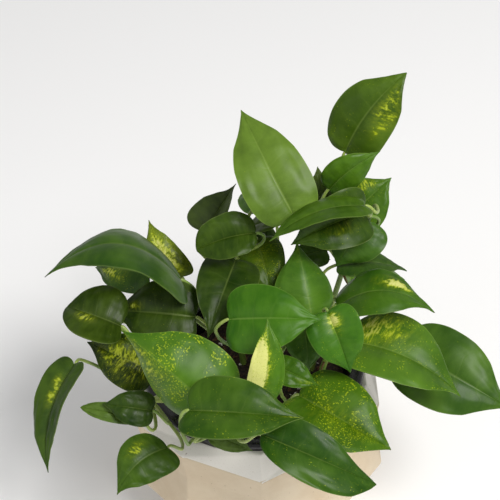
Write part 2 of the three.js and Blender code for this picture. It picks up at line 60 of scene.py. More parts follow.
# ---------- the leaves ----------
# Where each blade meets its stalk, its tip and its width in millimetres, and how it is held: roll turns it
# about its midrib, arch lifts its middle, foldL and foldR raise its halves, bow bends the midrib sideways.
# skew pushes one half ahead of the other, taper moves the widest part, pinch draws the tip in and lobe is
# the depth of the base lobes. green is its colour: its own green with painted shade and light in it, so
# leaves that lie in shade or turn from the light get darker greens. patch is where its yellow patch lies
# along and across the blade, its size and its strength. marking is its pattern number, speckle, marbling and
# dry tip.
LEAVES = [
    dict(name="leaf_crown_right", base=(60, 35, 245), tip=(95, 46, 288), width=36, bow=0.05, taper=0.6,
         via=[(54, 40, 222)], vine=2, green="#50701f", patch=(0.62, -0.55, 0.5, 0.6),
         marking=(0.11, 0.5, 0.05, 0.1)),
    dict(name="leaf_crown_right_low", base=(49, 10, 239), tip=(77, 15, 259), width=22, roll=35, bow=0.1,
         vine=2, green="#4c7a1e", marking=(0.72, 0.3, 0.0, 0.0)),
    dict(name="leaf_crown_tall", base=(27, -10, 240), tip=(3, 40, 275), width=39, bow=0.02, taper=1.0,
         neck=4, via=[(3, 28, 208), (22, 22, 230)], vine=1, green="#6c8c40",
         marking=(0.31, 0.2, 0.0, 0.1)),
    dict(name="leaf_crown_behind", base=(45, 21, 216), tip=(44, 33, 237), width=16, vine=2,
         green="#4a5c34", marking=(0.44, 0.0, 0.0, 0.6)),
    dict(name="leaf_crown_olive", base=(1, 14, 209), tip=(28, 1, 226), width=26, roll=-38, foldR=22,
         lobe=0.03, vine=1, green="#3f5a14", marking=(0.52, 0.1, 0.0, 0.0)),
    dict(name="leaf_olive_lobe", base=(6, -4, 223), tip=(-27, -7, 216), width=27, roll=22, foldR=50,
         taper=0.3, pinch=0, lobe=0.05, neck=5, via=[(-8, 3, 204), (5, -3, 211)], vine=1,
         green="#33500e", marking=(0.09, 0.1, 0.0, 0.0)),
    dict(name="leaf_fold_bright", base=(65, -14, 246), tip=(13, -29, 238), width=25, roll=45, arch=0.13,
         neck=8, via=[(67, 10, 204), (73, 8, 226)], vine=3, green="#42690f",
         marking=(0.83, 0.0, 0.0, 0.9)),
    # Its dark green is partly painted shade: this leaf lies in the shade of leaf_fold_bright.
    dict(name="leaf_fold_dark", base=(66, -2, 230), tip=(25, -17, 224), width=34, roll=10, foldR=60,
         neck=4, via=[(71, 8, 222)], vine=3, green="#284a10", patch=(0.45, 0.3, 0.35, 0.35),
         marking=(0.27, 0.5, 0.0, 0.2)),
    dict(name="leaf_right_upper", base=(60, 22, 206), tip=(86, 32, 226), width=32, vine=3,
         green="#4f7d2a", patch=(0.6, 0.6, 0.4, 0.6), marking=(0.61, 0.7, 0.05, 0.1)),
    dict(name="leaf_right_inner", base=(68, 3, 221), tip=(50, -10, 199), width=35, vine=3,
         green="#3f6c2a", marking=(0.19, 0.4, 0.0, 0.0)),
    dict(name="leaf_right_dark", base=(52, -5, 196), tip=(91, -5, 187), width=24, roll=-40,
         via=[(50, -26, 182)], vine=4, green="#355a26", patch=(0.2, 0.1, 0.35, 0.6),
         marking=(0.93, 0.4, 0.05, 0.0)),
    dict(name="leaf_right_arched", base=(49, -32, 190), tip=(101, -43, 190), width=36, roll=-36,
         arch=0.27, neck=5, vine=4, green="#3a6a17", patch=(0.6, 0.45, 0.36, 0.9),
         marking=(0.37, 0.4, 0.05, 0.9)),
    dict(name="leaf_right_large", base=(54, -43, 172), tip=(113, -70, 150), width=49, foldL=-4,
         foldR=56, bow=0.08, vine=4, green="#538028", patch=(0.28, 0.5, 0.6, 0.75),
         marking=(0.58, 0.75, 0.0, 0.4)),
    dict(name="leaf_right_far", base=(88, -27, 145), tip=(143, -60, 126), width=48, taper=0.8, vine=4,
         green="#46702b", marking=(0.66, 0.1, 0.0, 0.2)),
    dict(name="leaf_centre_streaked", base=(42, -50, 203), tip=(52, -69, 175), width=30, foldL=34,
         neck=4, vine=4, green="#35741a", patch=(0.3, 0.1, 0.4, 0.95), marking=(0.14, 0.5, 0.05, 0.0)),
    dict(name="leaf_centre_light", base=(34, -36, 187), tip=(29, -1, 211), width=38, foldL=0, foldR=-25,
         neck=5, vine=4, green="#568830", patch=(0.8, 0.2, 0.4, 0.3), marking=(0.77, 0.4, 0.0, 0.0)),
    dict(name="leaf_centre_bright", base=(-11, -51, 204), tip=(38, -59, 207), width=38, vine=5,
         green="#3d7a14", marking=(0.41, 0.1, 0.0, 0.0)),
    dict(name="leaf_centre_dark", base=(-6, -2, 202), tip=(-24, -45, 185), width=34, neck=3,
         via=[(-12, 8, 190)], vine=1, green="#28440e", marking=(0.05, 0.2, 0.0, 0.0)),
    dict(name="leaf_left_streaked", base=(-31, -27, 184), tip=(-74, -16, 182), width=40, taper=0.6,
         pinch=0.2, vine=0, green="#28400f", patch=(0.75, -0.3, 0.3, 0.7),
         marking=(0.88, 0.4, 0.05, 0.0)),
    dict(name="leaf_left_round", base=(-72, -35, 189), tip=(-101, -23, 195), width=40, foldL=58,
         foldR=0, taper=0.35, pinch=0, neck=5, via=[(-60, -12, 166), (-76, -20, 178)], vine=0,
         green="#2e4410", patch=(0.6, 0.25, 0.3, 0.7), marking=(0.24, 0.3, 0.0, 0.0)),
    dict(name="leaf_front_speckled", base=(-22, -92, 177), tip=(-68, -58, 208), width=56, foldL=-45,
         foldR=5, via=[(-20, -76, 156)], vine=6, green="#4f8020", patch=(0.7, 0.5, 0.7, 0.5),
         marking=(0.48, 1.0, 0.1, 0.2)),
    dict(name="leaf_front_middle", base=(-34, -103, 192), tip=(24, -111, 189), width=38, foldL=5,
         foldR=54, neck=6, via=[(-32, -84, 150), (-38, -106, 172)], vine=6, green="#2f5a0d",
         patch=(0.85, -0.1, 0.3, 0.75), marking=(0.69, 0.6, 0.0, 0.3)),
    dict(name="leaf_front_cream", base=(3, -93, 187), tip=(9, -70, 222), width=19, bow=-0.05, vine=6,
         green="#4e821f", patch=(0.45, 0.55, 0.85, 1.5), marking=(0.35, 0.8, 0.12, 0.3)),
    dict(name="leaf_front_small", base=(12, -65, 180), tip=(34, -73, 171), width=16, vine=5,
         green="#4a7a1b", patch=(0.7, -0.4, 0.4, 0.5), marking=(0.54, 0.5, 0.0, 0.0)),
    dict(name="leaf_front_right", base=(24, -67, 157), tip=(71, -98, 143), width=46, foldL=5, foldR=50,
         taper=0.8, vine=5, green="#46740e", patch=(0.55, -0.2, 0.6, 0.35),
         marking=(0.16, 1.0, 0.02, 0.8)),
    dict(name="leaf_front_hanging", base=(2, -105, 171), tip=(60, -124, 147), width=31, foldR=35,
         skew=0.14, taper=0.6, lobe=0.02, vine=6, green="#33601a", marking=(0.99, 0.55, 0.0, 0.3)),
    dict(name="leaf_left_hanging", base=(-100, -43, 169), tip=(-118, -85, 128), width=28, roll=48,
         arch=0.08, foldL=20, foldR=35, bow=-0.08, vine=7, green="#36551a", patch=(0.4, -0.2, 0.3, 0.6),
         marking=(0.63, 0.3, 0.0, 0.2)),
    dict(name="leaf_left_variegated", base=(-57, -44, 160), tip=(-93, -28, 171), width=32, vine=7,
         green="#263f10", patch=(0.45, 0.1, 0.9, 0.55), marking=(0.29, 0.7, 0.1, 0.0)),
    dict(name="leaf_left_low", base=(-58, -66, 152), tip=(-85, -62, 156), width=20, vine=7,
         green="#23420f", marking=(0.81, 0.1, 0.0, 0.0)),
    dict(name="leaf_left_under", base=(-67, -64, 145), tip=(-98, -59, 151), width=11, taper=0.4,
         pinch=0, vine=7, green="#648243", marking=(0.07, 0.0, 0.0, 0.0)),
    dict(name="leaf_rim_hanging", base=(-50, -89, 147), tip=(-78, -110, 136), width=29, foldL=8,
         foldR=5, bow=-0.12, lobe=0.1, vine=7, green="#385c14", patch=(0.45, -0.5, 0.3, 0.55),
         marking=(0.39, 0.4, 0.02, 0.2)),
    dict(name="leaf_rim_under", base=(-25, -84, 150), tip=(-4, -87, 137), width=12, vine=6,
         green="#587240", marking=(0.56, 0.0, 0.0, 0.0)),
    dict(name="leaf_left_long", base=(-38, -10, 198), tip=(-112, -14, 210), width=53, roll=38,
         arch=0.34, foldL=20, foldR=-5, taper=1.4, vine=0, green="#355e1d",
         marking=(0.74, 0.1, 0.0, 0.6)),
    dict(name="leaf_left_yellow", base=(-38, 8, 183), tip=(-55, 33, 206), width=20, bow=0.08, vine=0,
         green="#6b7c2a", patch=(0.5, 0, 0.9, 0.8), marking=(0.22, 0.9, 0.1, 0.0)),
    dict(name="leaf_left_upper", base=(-22, 25, 201), tip=(-3, 45, 219), width=32, foldL=0, foldR=75,
         taper=2, lobe=0.15, vine=1, green="#44543a", marking=(0.47, 0.0, 0.0, 0.3)),
    dict(name="leaf_centre_olive", base=(7, 12, 203), tip=(14, -18, 184), width=26, neck=2,
         via=[(1, 10, 197)], vine=1, green="#456710", patch=(0.4, 0, 0.6, 0.3),
         marking=(0.9, 0.9, 0.02, 0.0)),
    dict(name="leaf_centre_edge", base=(12, 23, 201), tip=(17, -4, 180), width=12, vine=1,
         green="#34521c", marking=(0.33, 0.0, 0.0, 0.0)),
    dict(name="leaf_centre_low", base=(30, -31, 176), tip=(31, -45, 153), width=24, vine=5,
         green="#336416", marking=(0.59, 0.5, 0.0, 0.0)),
    dict(name="leaf_centre_back", base=(46, 9, 195), tip=(25, 7, 191), width=18, vine=3,
         green="#33561a", marking=(0.17, 0.1, 0.0, 0.0)),
    dict(name="leaf_back_tall", base=(18, 55, 196), tip=(10, 94, 176), width=36, roll=170, arch=-0.12,
         vine=8, green="#44702a", patch=(0.4, 0.4, 0.5, 0.6), marking=(0.64, 0.7, 0.0, 0.0)),
    dict(name="leaf_back_right", base=(48, 48, 178), tip=(60, 92, 150), width=38, roll=170, arch=-0.12,
         vine=8, green="#4a7a24", patch=(0.3, -0.4, 0.5, 0.7), marking=(0.86, 0.9, 0.05, 0.2)),
    dict(name="leaf_back_left", base=(-8, 45, 138), tip=(-6, 88, 108), width=34, roll=170, arch=-0.12,
         vine=8, green="#2c5014", marking=(0.28, 0.5, 0.0, 0.0)),
    dict(name="leaf_back_far_left", base=(-60, 40, 157), tip=(-96, 68, 140), width=28, vine=8,
         green="#3c6420", patch=(0.6, 0.3, 0.5, 0.6), marking=(0.5, 0.7, 0.05, 0.2)),
    dict(name="leaf_back_far_right", base=(62, 34, 140), tip=(100, 60, 118), width=34, vine=8,
         green="#426f22", patch=(0.5, -0.3, 0.5, 0.7), marking=(0.71, 0.7, 0.03, 0.2)),
    dict(name="leaf_back_low", base=(24, 52, 128), tip=(28, 98, 96), width=34, vine=8, green="#2f5516",
         patch=(0.4, 0.3, 0.4, 0.5), marking=(0.02, 0.5, 0.0, 0.0)),
]

# Each vine climbs out of the soil through these points, in millimetres, and its stalks leave it at its top.
VINES = [
    [(-26, 6, 94), (-30, 4, 125), (-38, 0, 150), (-42, -2, 170)],
    [(-6, 14, 94), (-8, 14, 130), (-6, 12, 165), (-2, 10, 192)],
    [(26, 22, 94), (32, 22, 135), (42, 24, 170), (50, 24, 205)],
    [(34, 6, 94), (42, 6, 130), (52, 8, 165), (60, 12, 194)],
    [(34, -16, 94), (40, -24, 130), (44, -32, 160), (44, -34, 182)],
    [(10, -20, 94), (12, -26, 125), (14, -34, 148), (14, -40, 160)],
    [(-8, -30, 94), (-10, -44, 118), (-12, -58, 132), (-12, -70, 142)],
    [(-32, -20, 94), (-40, -28, 116), (-50, -36, 126), (-60, -42, 134)],
    [(4, 34, 94), (8, 38, 112), (12, 42, 124), (16, 44, 134)],
]

LEAF_ROWS = 56
LEAF_COLUMNS = 36
LEAF_THICKNESS = 0.45 * MM
LEAF_LOBE = 0.11
LEAF_TAPER = 1.15
LEAF_PINCH = 0.5
LEAF_CURL = -30
LEAF_WAVE = 0.012
LATERAL_VEINS = 8
QUILT = 0.28 * MM  # how far the blade swells between its side veins
RIB_GROOVE = 0.6 * MM
MARGIN_WAVE = 1.6 * MM
STALK_RADIUS = 1.0 * MM
STALK_NECK = 12
VINE_RADIUS = 1.8 * MM
# Faces that lean up this far and lie above the foot are painted paler: partly a pale top band, partly painted
# light from above.
BAND_SLOPE = 0.35  # the planter's paler faces lean back at least this much and lie above the foot
BAND_FOOT = 90 * MM
LIGHT_SIDE = Vector((0, -0.6, 0.8))
NO_PATCH = (0.5, 0.5, 0.3, 0)


# ---------- small helpers ----------
def deselect_all():
    bpy.ops.object.select_all(action="DESELECT")


def make_active(piece):
    deselect_all()
    piece.select_set(True)
    bpy.context.view_layer.objects.active = piece


def apply_modifier(piece, kind, **settings):
    make_active(piece)
    modifier = piece.modifiers.new(kind.title(), kind)
    for key, value in settings.items():
        setattr(modifier, key, value)
    bpy.ops.object.modifier_apply(modifier=modifier.name)


def weld(piece, distance=1e-6):
    make_active(piece)
    bpy.ops.object.mode_set(mode="EDIT")
    bpy.ops.mesh.select_all(action="SELECT")
    bpy.ops.mesh.remove_doubles(threshold=distance)
    bpy.ops.object.mode_set(mode="OBJECT")


def face_outwards(piece):
    make_active(piece)
    bpy.ops.object.mode_set(mode="EDIT")
    bpy.ops.mesh.select_all(action="SELECT")
    bpy.ops.mesh.normals_make_consistent(inside=False)
    bpy.ops.object.mode_set(mode="OBJECT")


def smooth(piece, degrees):
    make_active(piece)
    bpy.ops.object.shade_smooth_by_angle(angle=math.radians(degrees))


def in_place(piece, materials, slot, *nodes):
    piece.data.materials.clear()
    for material in materials:
        piece.data.materials.append(material)
    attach(piece, ROOT)
    if nodes:
        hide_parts(*nodes)


def copy_of_node(node, name):
    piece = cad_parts[node].copy()
    piece.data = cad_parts[node].data.copy()
    for key in list(piece.keys()):
        del piece[key]
    piece.parent = None
    piece.matrix_world = Matrix.Identity(4)
    piece.name = name
    bpy.context.scene.collection.objects.link(piece)
    weld(piece, 0.01 * MM)
    return piece


# ---------- materials ----------
def hex_colour(text):
    def linear(part):
        value = int(part, 16) / 255
        return value / 12.92 if value <= 0.04045 else ((value + 0.055) / 1.055) ** 2.4
    return (linear(text[1:3]), linear(text[3:5]), linear(text[5:7]), 1.0)


def add(tree, kind, inputs=None, **settings):
    node = tree.nodes.new(kind)
    for key, value in settings.items():
        setattr(node, key, value)
    for key, value in (inputs or {}).items():
        if isinstance(value, bpy.types.NodeSocket):
            tree.links.new(value, node.inputs[key])
        else:
            node.inputs[key].default_value = value
    return node


def new_material(name):
    material = bpy.data.materials.new(name)
    material.use_nodes = True
    tree = material.node_tree
    tree.nodes.clear()
    return material, tree


def finish_material(tree, inputs):
    surface = add(tree, "ShaderNodeBsdfPrincipled", inputs)
    add(tree, "ShaderNodeOutputMaterial", {"Surface": surface.outputs[0]})


def maths(tree, operation, first, second=0.0, third=0.0, clamp=False):
    inputs = {0: first, 1: second, 2: third}
    return add(tree, "ShaderNodeMath", inputs, operation=operation, use_clamp=clamp).outputs[0]


def blend_colours(tree, share, first, second):
    mix = add(tree, "ShaderNodeMix", {0: share, 6: first, 7: second}, data_type="RGBA")
    return mix.outputs[2]


def cloud(tree, where, scale, detail=2.0, roughness=0.5):
    inputs = {"Vector": where, "Scale": scale, "Detail": detail, "Roughness": roughness}
    return add(tree, "ShaderNodeTexNoise", inputs).outputs["Fac"]


def band(tree, value, low, high):
    inputs = {"Value": value, "From Min": low, "From Max": high}
    return add(tree, "ShaderNodeMapRange", inputs, interpolation_type="SMOOTHSTEP").outputs[0]


def blade_places(tree):
    """How far a point is from the midrib, how far along the blade, its flank and the leaf's marking."""
    place = add(tree, "ShaderNodeSeparateXYZ", {0: add(tree, "ShaderNodeUVMap").outputs[0]})
    across = maths(tree, "MULTIPLY_ADD", place.outputs[0], -2.0, 1.0)
    from_rib = maths(tree, "ABSOLUTE", across)
    flank = maths(tree, "SIGN", across)
    marking = add(tree, "ShaderNodeAttribute", attribute_name="marking")
    parts = add(tree, "ShaderNodeSeparateXYZ", {0: marking.outputs["Vector"]})
    return from_rib, place.outputs[1], flank, parts.outputs, marking.outputs["Alpha"]


def along_veins(tree, from_rib, along, flank, seed, across_scale, along_scale):
    """A pattern space drawn out along the side veins, different on each flank and each leaf."""
    x = maths(tree, "MULTIPLY_ADD", from_rib, across_scale, maths(tree, "MULTIPLY", seed, 61.0))
    y = maths(tree, "MULTIPLY", along, along_scale)
    z = maths(tree, "MULTIPLY_ADD", flank, 3.7, maths(tree, "MULTIPLY", seed, 173.0))
    return add(tree, "ShaderNodeCombineXYZ", {0: x, 1: y, 2: z}).outputs[0]


def drifting_green(tree, own_green, broad, streaks):
    """The ground colour drifts between a deeper and a lighter green."""
    shade = maths(tree, "MULTIPLY_ADD", broad, 0.9, maths(tree, "MULTIPLY", streaks, 0.5))
    dark = blend_colours(tree, 0.34, own_green, hex_colour("#0c1f04"))
    light = blend_colours(tree, 0.13, own_green, hex_colour("#a9c95a"))
    return blend_colours(tree, band(tree, shade, 0.42, 0.98), dark, light)


def side_vein_lines(tree, from_rib, along, broad):
    """Side veins, spaced along the midrib: thin near it and lost before the margin."""
    wander = maths(tree, "MULTIPLY", broad, 1.4)
    beat = maths(tree, "FRACT", maths(tree, "MULTIPLY_ADD", along, LATERAL_VEINS, wander))
    line = maths(tree, "POWER", maths(tree, "ABSOLUTE", maths(tree, "MULTIPLY_ADD", beat, 2.0, -1.0)), 14.0)
    return maths(tree, "MULTIPLY", line, maths(tree, "MULTIPLY_ADD", from_rib, -1.1, 0.95, clamp=True))


def patch_nearness(tree, from_rib, along, flank):
    """How strongly a point belongs to the leaf's own yellow patch, an oval drawn out across the blade."""
    own_patch = add(tree, "ShaderNodeAttribute", attribute_name="patch")
    place = add(tree, "ShaderNodeSeparateXYZ", {0: own_patch.outputs["Vector"]}).outputs
    across = maths(tree, "MULTIPLY", from_rib, flank)
    far_across = maths(tree, "DIVIDE", maths(tree, "SUBTRACT", across, place[1]), place[2])
    short_reach = maths(tree, "MULTIPLY", place[2], 0.42)
    far_along = maths(tree, "DIVIDE", maths(tree, "SUBTRACT", along, place[0]), short_reach)
    squared = maths(tree, "MULTIPLY", far_along, far_along)
    far = maths(tree, "SQRT", maths(tree, "MULTIPLY_ADD", far_across, far_across, squared))
    return maths(tree, "MULTIPLY", band(tree, far, 1.25, 0.2), own_patch.outputs["Alpha"])


def variegate(tree, own_green, green, places, near_patch):
    """Yellow parts: a streaked patch at the leaf's own place, marbling anywhere, clouds of fine specks."""
    from_rib, along, flank, marking = places
    seed, speckle, marbling = marking[0], marking[1], marking[2]
    flecks = cloud(tree, along_veins(tree, from_rib, along, flank, seed, 4.2, 58.0), 1.0, 3.0, 0.6)
    patch_space = along_veins(tree, from_rib, along, flank, seed, 2.0, 13.0)
    marble = cloud(tree, patch_space, 1.0, 5.0, 0.66)
    marbled = maths(tree, "MULTIPLY_ADD", marbling, 0.3, maths(tree, "MULTIPLY", marble, 0.55))
    marbled = maths(tree, "MULTIPLY_ADD", near_patch, 0.36, marbled)
    marbled = maths(tree, "MULTIPLY_ADD", flecks, 0.55, marbled)
    patches = band(tree, marbled, 0.76, 0.86)

    specks = cloud(tree, along_veins(tree, from_rib, along, flank, seed, 24.0, 105.0), 1.0, 1.0, 0.5)
    crowding = maths(tree, "MULTIPLY_ADD", near_patch, 0.3, cloud(tree, patch_space, 0.8, 2.0))
    gather = band(tree, crowding, 0.3, 0.62)
    speck_edge = maths(tree, "MULTIPLY_ADD", maths(tree, "MULTIPLY", speckle, gather), -0.25, 0.8)
    dots = band(tree, maths(tree, "SUBTRACT", specks, speck_edge), 0.0, 0.12)

    yellow_green = blend_colours(tree, 0.66, own_green, hex_colour("#e4f03c"))
    mixture = maths(tree, "MULTIPLY_ADD", flecks, 0.5, maths(tree, "MULTIPLY", marble, 0.5))
    mottled = maths(tree, "MULTIPLY", near_patch, band(tree, mixture, 0.4, 0.62))
    green = blend_colours(tree, maths(tree, "MULTIPLY", mottled, 0.65), green, yellow_green)
    pale_share = band(tree, maths(tree, "MULTIPLY_ADD", near_patch, 0.22, marbled), 0.92, 1.2)
    yellow_part = blend_colours(tree, pale_share, yellow_green, hex_colour("#fffbc8"))
    colour = blend_colours(tree, maths(tree, "MULTIPLY", patches, 0.9), green, yellow_part)
    return blend_colours(tree, maths(tree, "MULTIPLY", dots, 0.75), colour, yellow_green)


# Living pothos leaf: a waxy cuticle over green tissue. The wax gives a broad soft shine, side veins show as
# faint lighter lines, and the yellow parts run out along the veins in streaks and flecks with sharp edges.
def waxy_leaf(name, brighten, wash, vein_strength, shine):
    """The green comes from each leaf, painted shade and light included; brighten scales it and wash greys it,
    as on the underside.
    """
    material, tree = new_material(name)
    from_rib, along, flank, marking, dry = blade_places(tree)
    ground = add(tree, "ShaderNodeTexCoord").outputs["Object"]
    own_green = add(tree, "ShaderNodeAttribute", attribute_name="green").outputs["Color"]
    own_green = blend_colours(tree, wash, own_green, hex_colour("#7d9464"))

    broad = cloud(tree, ground, 42.0, 2.0)
    streaks = cloud(tree, along_veins(tree, from_rib, along, flank, marking[0], 1.6, 15.0), 1.0, 3.0, 0.6)
    green = drifting_green(tree, own_green, broad, streaks)
    side_veins = side_vein_lines(tree, from_rib, along, broad)
    vein_green = blend_colours(tree, 0.4, own_green, hex_colour("#c9dc9a"))
    green = blend_colours(tree, maths(tree, "MULTIPLY", side_veins, 0.13 * vein_strength), green, vein_green)
    near_patch = patch_nearness(tree, from_rib, along, flank)
    colour = variegate(tree, own_green, green, (from_rib, along, flank, marking), near_patch)

    # The midrib is a pale line, the margin a fine light edge, and an old tip dries brown.
    fading = maths(tree, "MULTIPLY_ADD", along, -0.6, 0.7)
    rib = maths(tree, "MULTIPLY", band(tree, from_rib, 0.045, 0.012), fading)
    colour = blend_colours(tree, maths(tree, "MULTIPLY", rib, 0.7 * vein_strength), colour, vein_green)
    edge = maths(tree, "MULTIPLY", band(tree, from_rib, 0.965, 0.995), 0.35)
    colour = blend_colours(tree, edge, colour, vein_green)
    withered = maths(tree, "MULTIPLY", band(tree, along, 0.93, 0.975), dry)
    colour = blend_colours(tree, withered, colour, hex_colour("#5a3a1c"))
    strength = tuple(brighten * part for part in (0.96, 1.0, 0.55))
    scaled = add(tree, "ShaderNodeVectorMath", {0: colour, 1: strength}, operation="MULTIPLY")

    cells = cloud(tree, ground, 2600.0, 2.0)
    relief_height = maths(tree, "MULTIPLY_ADD", side_veins, -0.5, maths(tree, "MULTIPLY", streaks, 1.1))
    relief_height = maths(tree, "MULTIPLY_ADD", cells, 0.12, relief_height)
    bump = add(tree, "ShaderNodeBump", {"Height": relief_height, "Strength": 0.35, "Distance": 0.3 * MM})
    rough = maths(tree, "MULTIPLY_ADD", streaks, 0.18, shine - 0.09)
    finish_material(tree, {
        "Base Color": scaled.outputs[0], "Roughness": rough, "Specular IOR Level": 0.15,
        "Normal": bump.outputs[0],
    })
    return material


# Green stem: smooth, slightly ribbed skin with darker freckles, satin from its thin wax.
def green_stem(name):
    material, tree = new_material(name)
    ground = add(tree, "ShaderNodeTexCoord").outputs["Object"]
    long_grain = add(tree, "ShaderNodeMapping", {"Vector": ground, "Scale": (900.0, 900.0, 60.0)}).outputs[0]
    fibres = cloud(tree, long_grain, 1.0, 2.0)
    age = cloud(tree, ground, 28.0, 3.0)
    colour = blend_colours(tree, band(tree, age, 0.36, 0.66), hex_colour("#5f7f2c"), hex_colour("#93a550"))
    freckles = band(tree, cloud(tree, ground, 950.0, 1.0), 0.66, 0.72)
    colour = blend_colours(tree, maths(tree, "MULTIPLY", freckles, 0.5), colour, hex_colour("#4c4a20"))
    bump = add(tree, "ShaderNodeBump", {"Height": fibres, "Strength": 0.4, "Distance": 0.12 * MM})
    finish_material(tree, {"Base Color": colour, "Roughness": 0.42, "Normal": bump.outputs[0]})
    return material


# Dry aerial root: corky brown, matt.
def corky_root(name):
    material, tree = new_material(name)
    ground = add(tree, "ShaderNodeTexCoord").outputs["Object"]
    cork = cloud(tree, ground, 1400.0, 3.0)
    colour = blend_colours(tree, cork, hex_colour("#4a3420"), hex_colour("#8a6a42"))
    bump = add(tree, "ShaderNodeBump", {"Height": cork, "Strength": 0.6, "Distance": 0.2 * MM})
    finish_material(tree, {"Base Color": colour, "Roughness": 0.85, "Normal": bump.outputs[0]})
    return material


# Cast stoneware planter: unglazed, cream, with fine sand grain, soft clouding and a few pin holes.
# Its upward faces high up are painted paler: partly a pale top band, partly painted light from above.
def cast_stoneware(name):
    material, tree = new_material(name)
    ground = add(tree, "ShaderNodeTexCoord").outputs["Object"]
    clouding = cloud(tree, ground, 22.0, 4.0, 0.6)
    body = blend_colours(tree, band(tree, clouding, 0.3, 0.7), hex_colour("#c6b397"), hex_colour("#d5c6ad"))
    # Painted light: upward faces high on the planter blend towards near white, partly its pale top band and
    # partly the light from above painted in.
    pale_lit_band = add(tree, "ShaderNodeAttribute", attribute_name="top_band").outputs["Fac"]
    colour = blend_colours(tree, maths(tree, "MULTIPLY", pale_lit_band, 0.85), body, hex_colour("#efece6"))
    sand = cloud(tree, ground, 1500.0, 3.0, 0.7)
    grain = maths(tree, "MULTIPLY", band(tree, sand, 0.58, 0.74), 0.35)
    colour = blend_colours(tree, grain, colour, hex_colour("#a8957a"))
    pin_holes = band(tree, cloud(tree, ground, 520.0, 1.0), 0.74, 0.78)
    colour = blend_colours(tree, maths(tree, "MULTIPLY", pin_holes, 0.6), colour, hex_colour("#8d7b62"))
    height = maths(tree, "MULTIPLY_ADD", pin_holes, -1.5, sand)
    bump = add(tree, "ShaderNodeBump", {"Height": height, "Strength": 0.35, "Distance": 0.15 * MM})
    finish_material(tree, {"Base Color": colour, "Roughness": 0.8, "Normal": bump.outputs[0]})
    return material


# Thermoformed black polypropylene: glossy, with a faint orange peel and dust lying in it.
def black_polypropylene(name):
    material, tree = new_material(name)
    ground = add(tree, "ShaderNodeTexCoord").outputs["Object"]
    peel = cloud(tree, ground, 420.0, 2.0)
    dust = band(tree, cloud(tree, ground, 130.0, 5.0, 0.7), 0.55, 0.8)
    dusty = maths(tree, "MULTIPLY", dust, 0.25)
    colour = blend_colours(tree, dusty, hex_colour("#0b0b0d"), hex_colour("#3a3632"))
    rough = maths(tree, "MULTIPLY_ADD", dust, 0.3, 0.24)
    bump = add(tree, "ShaderNodeBump", {"Height": peel, "Strength": 0.25, "Distance": 0.2 * MM})
    finish_material(tree, {"Base Color": colour, "Roughness": rough, "Normal": bump.outputs[0]})
    return material


# Damp potting mix: dark peat crumbs with lighter fibres.
def damp_peat(name):
    material, tree = new_material(name)
    ground = add(tree, "ShaderNodeTexCoord").outputs["Object"]
    crumbs = cloud(tree, ground, 420.0, 5.0, 0.7)
    colour = blend_colours(tree, band(tree, crumbs, 0.4, 0.75), hex_colour("#1a120c"), hex_colour("#4a3524"))
    bump = add(tree, "ShaderNodeBump", {"Height": crumbs, "Strength": 0.8, "Distance": 0.8 * MM})
    finish_material(tree, {"Base Color": colour, "Roughness": 0.95, "Normal": bump.outputs[0]})
    return material


def bark_chip(name):
    material, tree = new_material(name)
    ground = add(tree, "ShaderNodeTexCoord").outputs["Object"]
    grain = cloud(tree, ground, 800.0, 4.0, 0.7)
    colour = blend_colours(tree, grain, hex_colour("#2a1a10"), hex_colour("#6d4a2c"))
    bump = add(tree, "ShaderNodeBump", {"Height": grain, "Strength": 0.7, "Distance": 0.3 * MM})
    finish_material(tree, {"Base Color": colour, "Roughness": 0.9, "Normal": bump.outputs[0]})
    return material


# Perlite: white volcanic glass popped into chalky grains.
def perlite_grain(name):
    material, tree = new_material(name)
    ground = add(tree, "ShaderNodeTexCoord").outputs["Object"]
    pits = cloud(tree, ground, 1800.0, 2.0)
    colour = blend_colours(tree, pits, hex_colour("#b9b3a6"), hex_colour("#e9e6df"))
    bump = add(tree, "ShaderNodeBump", {"Height": pits, "Strength": 0.5, "Distance": 0.2 * MM})
    finish_material(tree, {"Base Color": colour, "Roughness": 0.9, "Normal": bump.outputs[0]})
    return material


def white_paper(name):
    material, tree = new_material(name)
    finish_material(tree, {"Base Color": hex_colour("#f3f3f3"), "Roughness": 0.9})
    return material


# ---------- leaf shape ----------
def leaf_frame(leaf):
    base = Vector(leaf["base"])
    along = Vector(leaf["tip"]) - base
    length = along.length
    along.normalize()
    up = (LIGHT_SIDE - along * LIGHT_SIDE.dot(along)).normalized()
    up = Matrix.Rotation(math.radians(leaf.get("roll", 0)), 3, along) @ up
    return base, along, up.cross(along), up, length


def relief(leaf, row, side):
    """The fine relief in millimetres: swellings between the veins, the midrib's groove, a wavy margin."""
    out = abs(side)
    seed = leaf["marking"][0] * 40
    beat = LATERAL_VEINS * (row + 0.02 * math.sin(3 * seed + 5 * side))
    swell = 0.5 - 0.5 * math.cos(2 * math.pi * beat)
    quilting = QUILT * swell * math.sin(math.pi * min(out * 1.05, 1)) * math.sin(math.pi * row)
    groove = RIB_GROOVE * math.exp(-((out / 0.07) ** 2)) * (1 - row)
    place = Vector((row * 5, side * 2.2, seed))
    wander = noise.fractal(place, 0.9, 2.2, 3) * MARGIN_WAVE * out * out * math.sin(math.pi * row)
    return (quilting - groove + wander) / MM


